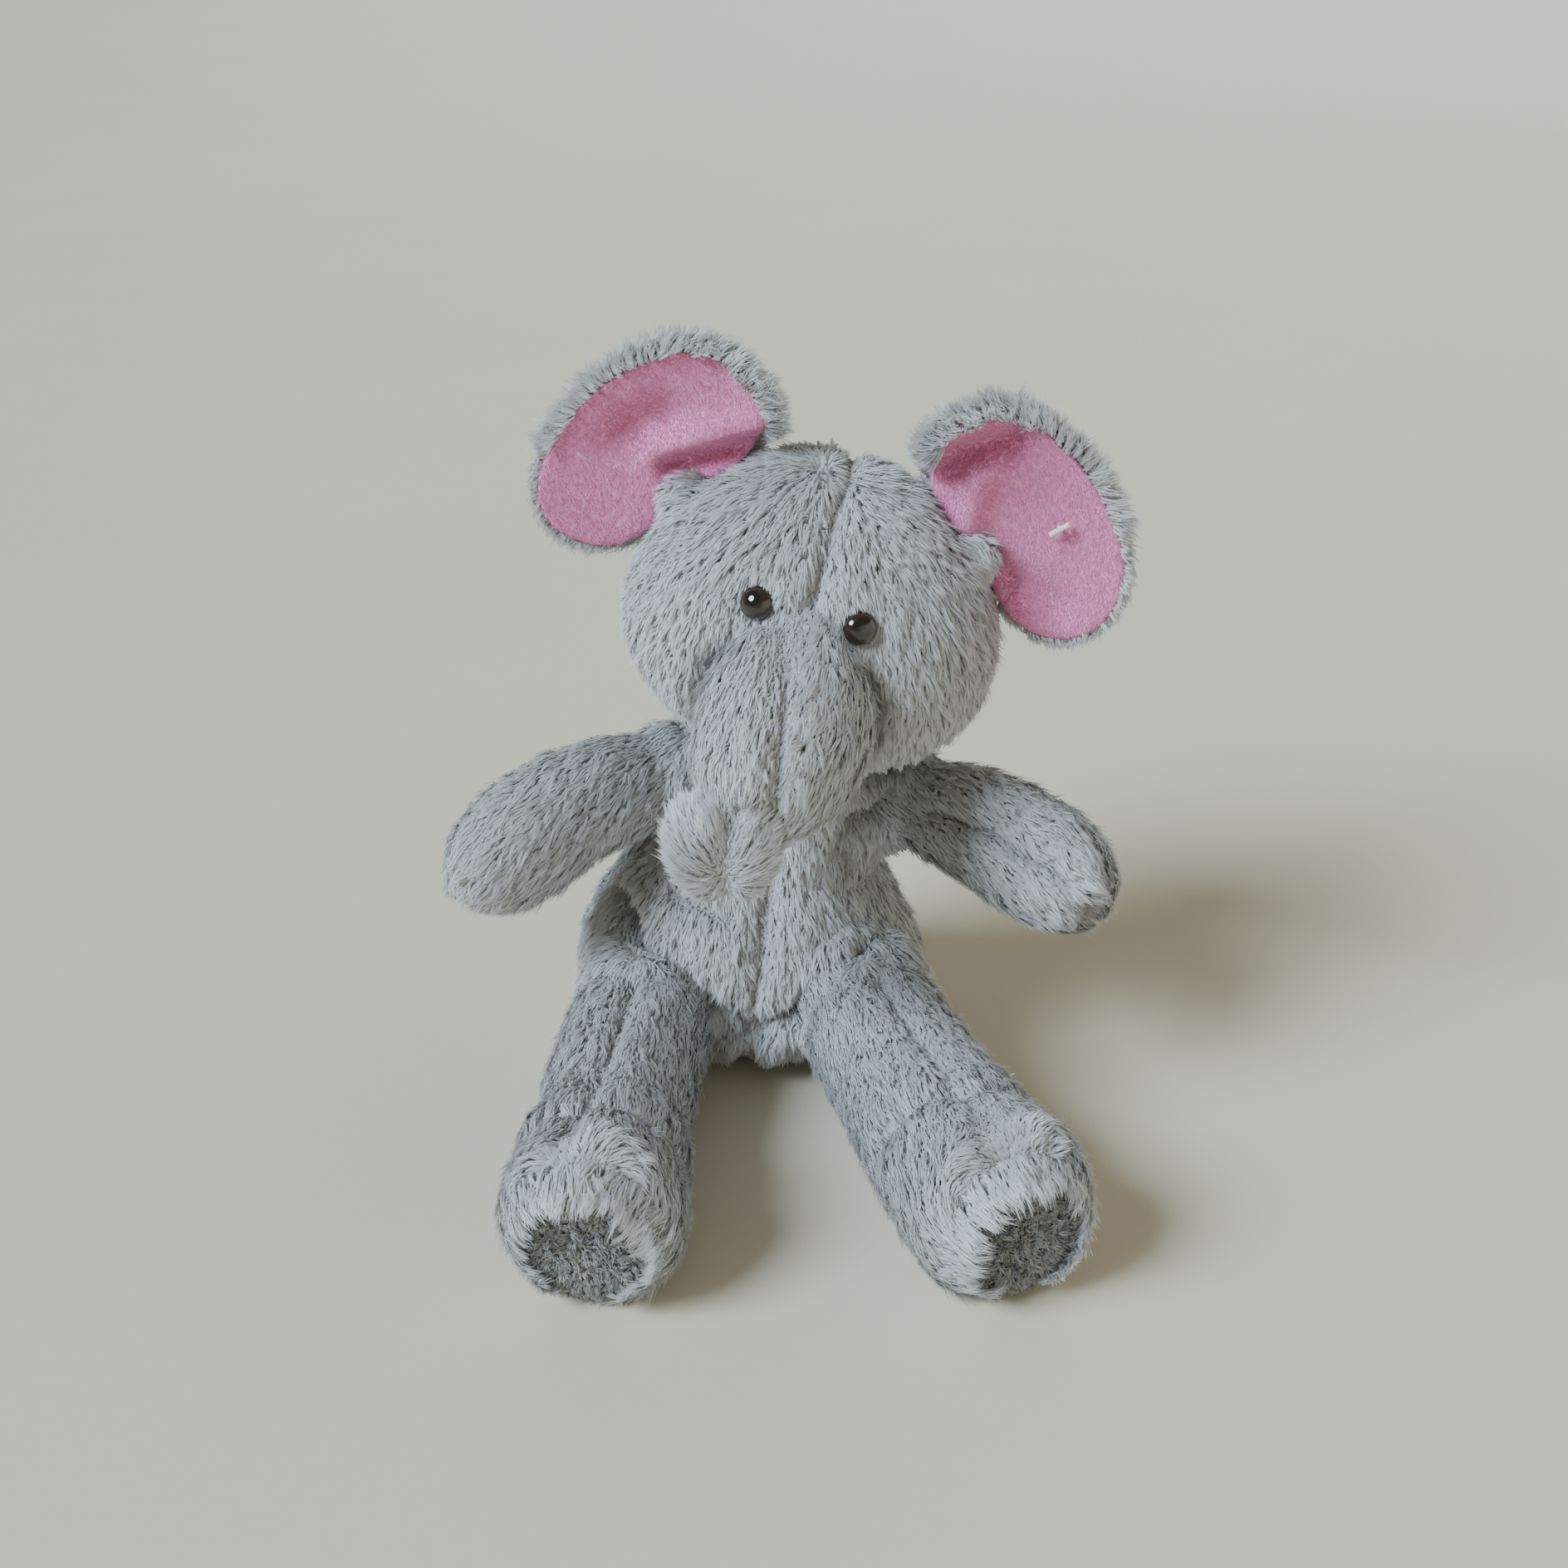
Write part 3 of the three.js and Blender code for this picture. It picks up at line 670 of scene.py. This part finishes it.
def build_trunk():
    eyes = [(front, 5 * MM, 11 * MM) for front, _ in eye_places().values()]
    skin = skin_of("trunk_skin", ["trunk_left", "trunk_right", "trunk_stuffing"], voxel=2.2 * MM)
    brow = pivot("trunk_lift") / MM + (0, -12, 28)
    near = dressed(skin, ["trunk_left", "trunk_right"], "trunk", ["trunk_stuffing"], pinch=2 * MM,
                   bulges=[(brow, 20, 11)])
    comb = along_limb(pivot("trunk_lift"), pivot("trunk_curl"), 0.3)
    grow_pile("trunk_pile", skin, comb, GREY_PILE, "trunk", 3, density=2.6, near=near, lean=66,
              gather=0.3, shy=eyes)

    panels = ["trunk_tip_left", "trunk_tip_right"]
    skin = skin_of("trunk_tip_skin", [*panels, "trunk_tip_stuffing"], voxel=2 * MM)
    near = dressed(skin, panels, "trunk_tip", ["trunk_tip_stuffing"], pinch=2 * MM)
    root = pivot("trunk_curl")
    middle = sum(np.array(v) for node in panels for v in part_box(node)) / 4
    apex = middle + (middle - root) * 0.9 + point(0, -8, 0)
    # the trunk tip takes the lighter grey of painted light
    grow_pile("trunk_tip_pile", skin, away_from(apex), LIT_FRINGE_PILE, "trunk_tip", 4, density=2.8,
              length=PILE * 1.1, width=STRAND * 0.9, near=near, lean=60, gather=0.45)


def build_arms():
    for side, seed in (("left", 5), ("right", 6)):
        body = f"arm_{side}"
        panels = [f"arm_{side}_front", f"arm_{side}_rear"]
        skin = skin_of(f"{body}_skin", [*panels, f"{body}_stuffing"], voxel=2.4 * MM)
        near = dressed(skin, panels, body, [f"{body}_stuffing"], folds=ARM_FOLDS[side])
        tip = point(*ARM_TIPS[side])
        comb = parted(along_limb(pivot(f"arm_{side}_lift"), tip), tip, 17 * MM)
        grow_pile(f"{body}_pile", skin, comb, GREY_PILE, body, seed, density=2.1, near=near)


def build_legs():
    for side, seed in (("left", 7), ("right", 9)):
        body = f"leg_{side}"
        panels = [f"leg_{side}_outer", f"leg_{side}_inner", f"leg_{side}_sole"]
        skin = skin_of(f"{body}_skin", [*panels, f"{body}_stuffing"])
        near = dressed(skin, panels, body, [f"{body}_stuffing"], folds=LEG_FOLDS[side],
                       bulges=LEG_BULGES[side])
        low, high = (np.array(v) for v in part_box(f"leg_{side}_sole"))
        sole = (low + high) / 2
        way = unit((sole - pivot(f"leg_{side}_lift")) * [1, 1, 0])
        comb = parted(along_limb(pivot(f"leg_{side}_lift"), sole, 0.2), sole + point(0, 0, 27), 24 * MM)

        def on_sole(p, n, sole=sole, way=way):
            return ((p - sole) @ way > -4 * MM) & (n @ way > 0.6)

        def at_rim(p, n, sole=sole, way=way):
            return (np.abs((p - sole) @ way) < 7 * MM) & (n @ way <= 0.75) & (p[:, 2] > 8 * MM)

        def to_middle(points, sole=sole, way=way):
            return way + 0.35 * unit(sole - points)

        grow_pile(f"{body}_pile", skin, comb, GREY_PILE, body, seed, density=1.9, near=near,
                  keep=lambda p, n: ~on_sole(p, n))
        # the fringe round the sole takes the lighter grey of painted light
        grow_pile(f"{body}_fringe", skin, to_middle, LIT_FRINGE_PILE, body, seed + 30, density=3.5,
                  length=9 * MM, width=STRAND * 0.8, lean=66, clump=8, gather=0.45, keep=at_rim)
        # the sole's pile takes the darker grey of painted shade
        grow_pile(f"{body}_shaded_sole_pile", skin, away_from(sole), SHADED_SOLE_PILE, body, seed + 1, density=3.0,
                  length=3.0 * MM, width=0.8 * MM, lean=42, wild=1.3, clump=8, keep=on_sole)


# ---------------------------------------------------------------- ears

# Folds of both layers of an ear, in its own plane in mm: from x, y to x, y, then width and height.
EAR_FOLDS = {
    "right": [
        (38, 3, 2, 14, 5, -7),
        (38, 11, 6, 24, 6, 5),
        (-2, 34, 12, 31, 9, -7),
        (46, 4, 50, 26, 6, 8),
    ],
    "left": [
        (-48, 4, -50, 28, 7, 10),
        (-37, 10, -33, 36, 5, -7),
        (-26, 20, -12, 6, 6, 5),
        (6, 4, 34, 18, 8, -5),
    ],
}
EAR_MIDDLE = (0.0, 24.0)


def ear_axes(side):
    """An ear's base point and its axes: along its sewn edge, out to its rim, and to its front."""
    joint = joints[f"ear_{side}_flap"]
    base, along = np.array(joint["pos_m"]), unit(joint["axis"])
    node = frame["nodes"][f"ear_{side}_lining"]
    points = np.array([node.matrix_world @ v.co for v in node.data.vertices])
    outward = points.mean(axis=0) - base
    outward = unit(outward - along * (outward @ along))
    return base, along, outward, np.cross(along, outward)


def ear_relief(side, x, y):
    """How far the ear stands forward of its flat pattern at x, y in mm."""
    height = 0.0
    for x0, y0, x1, y1, width, rise in EAR_FOLDS[side]:
        dx, dy = x1 - x0, y1 - y0
        part = min(max(((x - x0) * dx + (y - y0) * dy) / (dx * dx + dy * dy), 0.0), 1.0)
        off = math.hypot(x - x0 - part * dx, y - y0 - part * dy)
        height += rise * math.exp(-((off / width) ** 2))
    return height


def ear_level(side, node):
    """A function of x, y in mm that gives the height of a CAD ear layer there, or None beside it."""
    base, along, outward, front = ear_axes(side)
    tree = BVHTree.FromPolygons(*world_mesh([node]))

    def level(x, y):
        place = base + MM * (x * along + y * outward)
        over, under = Vector(place + RAY_START * front), Vector(place - RAY_START * front)
        from_over = tree.ray_cast(over, Vector(-front))[0]
        from_under = tree.ray_cast(under, Vector(front))[0]
        if from_over is None or from_under is None:
            return None
        return float((np.array((from_over + from_under) / 2) - base) @ front) / MM

    return level


def on_spoke(angle, far):
    """The x, y in mm of a point that lies far out from an ear's middle at an angle."""
    return EAR_MIDDLE[0] + far * math.cos(angle), EAR_MIDDLE[1] + far * math.sin(angle)


def outline_of(level, inset):
    """How far an ear layer reaches from its middle along each spoke, smoothed, less an inset."""
    reach = []
    for step in range(EAR_SPOKES):
        angle = 2 * math.pi * step / EAR_SPOKES
        far = EAR_SEARCH
        while level(*on_spoke(angle, far)) is None:
            far -= 0.5
        reach.append(far - inset)
    for _ in range(3):
        reach = [(reach[i - 1] + 2 * reach[i] + reach[(i + 1) % EAR_SPOKES]) / 4 for i in range(EAR_SPOKES)]
    return reach


def ear_corners(side, level, reach, thick):
    """The corners of an ear layer, its back and then its front, in rings from its middle to its rim."""
    base, along, outward, front = ear_axes(side)
    corners = []
    for rise in (-1, 1):
        for row in range(EAR_ROWS + 1):
            rounded = thick * math.sqrt(max(0.0, 1 - (row / EAR_ROWS) ** 8)) / 2
            for step in range(EAR_SPOKES):
                angle = 2 * math.pi * step / EAR_SPOKES
                spread = reach[step] * row / EAR_ROWS
                x, y = on_spoke(angle, spread)
                flat = level(x, y)
                while flat is None:
                    spread -= 1.0
                    flat = level(*on_spoke(angle, spread))
                height = flat + ear_relief(side, x, y) + rise * rounded
                corners.append(tuple(base + MM * (x * along + y * outward + height * front)))
    return corners


def ear_faces():
    """The faces of both sides of an ear layer, and of the rim that joins them."""
    faces = []
    size = EAR_SPOKES * (EAR_ROWS + 1)
    for layer in (0, 1):
        for row in range(EAR_ROWS):
            for step in range(EAR_SPOKES):
                a = layer * size + row * EAR_SPOKES + step
                b = layer * size + row * EAR_SPOKES + (step + 1) % EAR_SPOKES
                quad = [a, a + EAR_SPOKES, b + EAR_SPOKES, b]
                faces.append(quad[::-1] if layer == 0 else quad)
    rim = EAR_ROWS * EAR_SPOKES
    for step in range(EAR_SPOKES):
        a, b = rim + step, rim + (step + 1) % EAR_SPOKES
        faces.append([a, b, b + size, a + size])
    return faces


def ear_sheet(name, side, node, inset, thick):
    """A soft sheet with the outline of a CAD ear layer, less an inset, with the ear's folds laid on it."""
    level = ear_level(side, node)
    reach = outline_of(level, inset)
    obj = mesh_object(name, ear_corners(side, level, reach, thick), ear_faces())
    weld = obj.modifiers.new("weld", "WELD")
    weld.merge_threshold = 0.01 * MM
    ease = obj.modifiers.new("ease", "SMOOTH")
    ease.iterations = 3
    baked(obj)
    shade_smooth(obj)
    return obj, reach


def rim_share(side, points, reach):
    """Where points lie between the middle of an ear, 0, and its rim, 1, and how far out they are in mm."""
    base, along, outward, _ = ear_axes(side)
    x, y = ((points - base) @ along) / MM, ((points - base) @ outward) / MM
    turn = np.arctan2(y - EAR_MIDDLE[1], x - EAR_MIDDLE[0]) % (2 * np.pi)
    steps = np.arange(len(reach)) * 2 * np.pi / len(reach)
    edge = np.interp(turn, steps, reach, period=2 * np.pi)
    return np.hypot(x - EAR_MIDDLE[0], y - EAR_MIDDLE[1]) / edge, y


def ear_cloth(side):
    """An ear's grey back and pink lining, and how far the back reaches along each spoke."""
    body = f"ear_{side}"
    back, rim = ear_sheet(f"{body}_back_skin", side, f"{body}_back", 0.0, 3.4)
    lining, _ = ear_sheet(f"{body}_lining_skin", side, f"{body}_lining", -3.4, 2.4)
    for obj, material, slot, node in (
        (back, BACKING, "grey_plush", f"{body}_back"),
        (lining, VELOUR, "pink_velour", f"{body}_lining"),
    ):
        obj.data.materials.append(material)
        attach(obj, body)
        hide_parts(node)
    return back, lining, rim


def build_ears():
    for side, seed in (("left", 11), ("right", 14)):
        body = f"ear_{side}"
        base, _, outward, front = ear_axes(side)
        back, lining, rim = ear_cloth(side)
        middle = base + outward * 26 * MM

        def on_back(p, n, front=front):
            return n @ front < 0.1

        def on_front(p, n, front=front):
            return n @ front > 0

        def on_rim(p, side=side, rim=rim):
            share, out = rim_share(side, p, rim)
            return (share > 0.95) & (out > 5)

        def at_high_rim(p, n, on_rim=on_rim, middle=middle):
            return on_rim(p) & (p[:, 2] > middle[2])

        def at_low_rim(p, n, on_rim=on_rim, middle=middle):
            return on_rim(p) & (p[:, 2] <= middle[2])

        spread = away_from(middle, tuple(front * 0.5))
        grow_pile(f"{body}_pile", back, away_from(middle, (0, 0.2, -0.1)), GREY_PILE, body, seed, density=2.4,
                  keep=on_back)
        # both rim fringes take the lighter grey of painted light
        grow_pile(f"{body}_fringe", back, spread, LIT_FRINGE_PILE, body, seed + 30, density=18, length=9.5 * MM,
                  width=STRAND * 0.8, lean=34, clump=9, gather=0.5, wild=0.35, keep=at_high_rim)
        grow_pile(f"{body}_low_fringe", back, spread, LIT_FRINGE_PILE, body, seed + 60, density=12,
                  length=5.5 * MM, width=STRAND * 0.8, lean=50, clump=9, gather=0.4, wild=0.3,
                  keep=at_low_rim)
        grow_pile(f"{body}_nap", lining, toward((0, 0, -1)), PINK_PILE, body, seed + 1, density=5.0,
                  length=0.9 * MM, width=0.4 * MM, lean=62, clump=6, wild=0.4, gather=0.2, keep=on_front)


def build_tail():
    skin = skin_of("tail_skin", ["tail", "tail_tuft"], voxel=1.4 * MM, smooth=4)
    skin.data.materials.append(BACKING)
    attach(skin, "tail")
    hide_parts("tail", "tail_tuft")
    grow_pile("tail_pile", skin, toward((0, 0.2, -1)), GREY_PILE, "tail", 17, density=2.5, length=6 * MM)


def eye_dome(name, node, front, facing):
    """A smooth glossy dome over the CAD eye, with its top just ahead of the front point."""
    radius, bulge, rings, around = 6.4 * MM, 5.4 * MM, 12, 40
    base = front - facing * (bulge - 1.2 * MM)
    right = unit(np.cross(facing, [0, 0, 1]))
    upward = np.cross(right, facing)
    verts, faces, levels = [], [], []
    for row in range(rings + 1):
        rise = math.pi / 2 * row / rings
        for step in range(around):
            turn = 2 * math.pi * step / around
            out = radius * math.cos(rise) * (right * math.cos(turn) + upward * math.sin(turn))
            verts.append(tuple(base + out + facing * bulge * math.sin(rise)))
            levels.append(math.cos(rise))
    for row in range(rings):
        for step in range(around):
            a, b = row * around + step, row * around + (step + 1) % around
            faces.append([b, a, a + around, b + around])
    faces.append(list(range(around)))
    obj = mesh_object(name, verts, faces)
    mesh = obj.data
    layer = mesh.uv_layers.new(name="OFBake")
    for polygon in mesh.polygons:
        polygon.use_smooth = len(polygon.vertices) == 4
        for loop in polygon.loop_indices:
            i = mesh.loops[loop].vertex_index
            layer.data[loop].uv = ((i % around + 0.5) / around, min(levels[i], 0.98))
    mesh.materials.append(EYE_GLOSS)
    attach(obj, "head")
    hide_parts(node)


def build_small_parts():
    for side, (front, facing) in eye_places().items():
        eye_dome(f"eye_{side}_dome", f"eye_{side}", front, facing)
        paint(f"eye_washer_{side}", WHITE_PLASTIC)
        # the seam rings at the arms, legs and neck take the dark grey of painted shade
        paint(f"arm_{side}_seam", JOINT_SHADE)
        paint(f"leg_{side}_seam", JOINT_SHADE)
    paint("neck_seam", JOINT_SHADE)
    paint("tag_pin", WHITE_PLASTIC)


def paint(node, material):
    obj = frame["nodes"][node]
    if not obj.material_slots:
        obj.data.materials.append(material)
    for place in obj.material_slots:
        place.material = material


# ---------------------------------------------------------------- studio


def floor_sweep():
    """A wide round floor whose far edge curves up, so that no horizon shows behind the toy."""
    flat, edge, height, rings, around = 4.0, 14.0, 7.5, 24, 64
    verts, faces = [(0.0, 0.0, 0.0)], []
    for ring in range(rings + 1):
        part = ring / rings
        radius = flat + (edge - flat) * part
        for step in range(around):
            turn = 2 * math.pi * step / around
            verts.append((radius * math.cos(turn), radius * math.sin(turn), height * part * part))
    for step in range(around):
        faces.append([0, 1 + step, 1 + (step + 1) % around])
    for ring in range(rings):
        for step in range(around):
            a, b = 1 + ring * around + step, 1 + ring * around + (step + 1) % around
            faces.append([a, a + around, b + around, b])
    floor = mesh_object("studio_floor", verts, faces)
    floor.location.z = -0.2 * MM
    shade_smooth(floor)
    return floor


def lamp_at(name, kind, place, colour, energy, size):
    """A lamp that looks at the toy. size is an area lamp's width in metres, or a sun's spread in degrees."""
    lamp = bpy.data.lights.new(name, kind)
    lamp.energy = energy
    lamp.color = colour
    if kind == "SUN":
        lamp.angle = math.radians(size)
    else:
        lamp.size = size
    obj = placed(bpy.data.objects.new(name, lamp))
    obj.location = place
    obj.rotation_euler = (Vector(TOY_MIDDLE) - obj.location).to_track_quat("-Z", "Y").to_euler()


def place_camera():
    camera = bpy.data.cameras.new("camera")
    camera.sensor_width = 36.0
    camera.lens = CAMERA_LENS
    obj = placed(bpy.data.objects.new("camera", camera))
    tilt = Matrix.Rotation(math.radians(90 - CAMERA_DOWN), 4, "X")
    roll = Matrix.Rotation(math.radians(CAMERA_ROLL), 4, "Z")
    obj.matrix_world = Matrix.Translation(CAMERA_PLACE) @ tilt @ roll
    bpy.context.scene.camera = obj


def build_studio():
    floor = floor_sweep()
    floor.data.materials.append(
        cloth_material("floor", (0.73, 0.645, 0.48), (0.76, 0.675, 0.51), 3, 0.0, 0.0, 0.7))

    world = bpy.data.worlds.new("studio")
    bpy.context.scene.world = world
    world.use_nodes = True
    sky = world.node_tree.nodes["Background"]
    sky.inputs["Color"].default_value = (1.0, 0.955, 0.87, 1)
    sky.inputs["Strength"].default_value = 0.24
    lamp_at("key", "SUN", (-0.72, -0.40, 0.78), (0.66, 0.83, 1.0), 5.3, 28)
    lamp_at("fill", "AREA", (0.9, -1.1, 0.5), (1.0, 0.95, 0.88), 1.0, 1.2)
    place_camera()


build_torso()
build_head()
build_trunk()
build_arms()
build_legs()
build_ears()
build_tail()
build_small_parts()
build_studio()
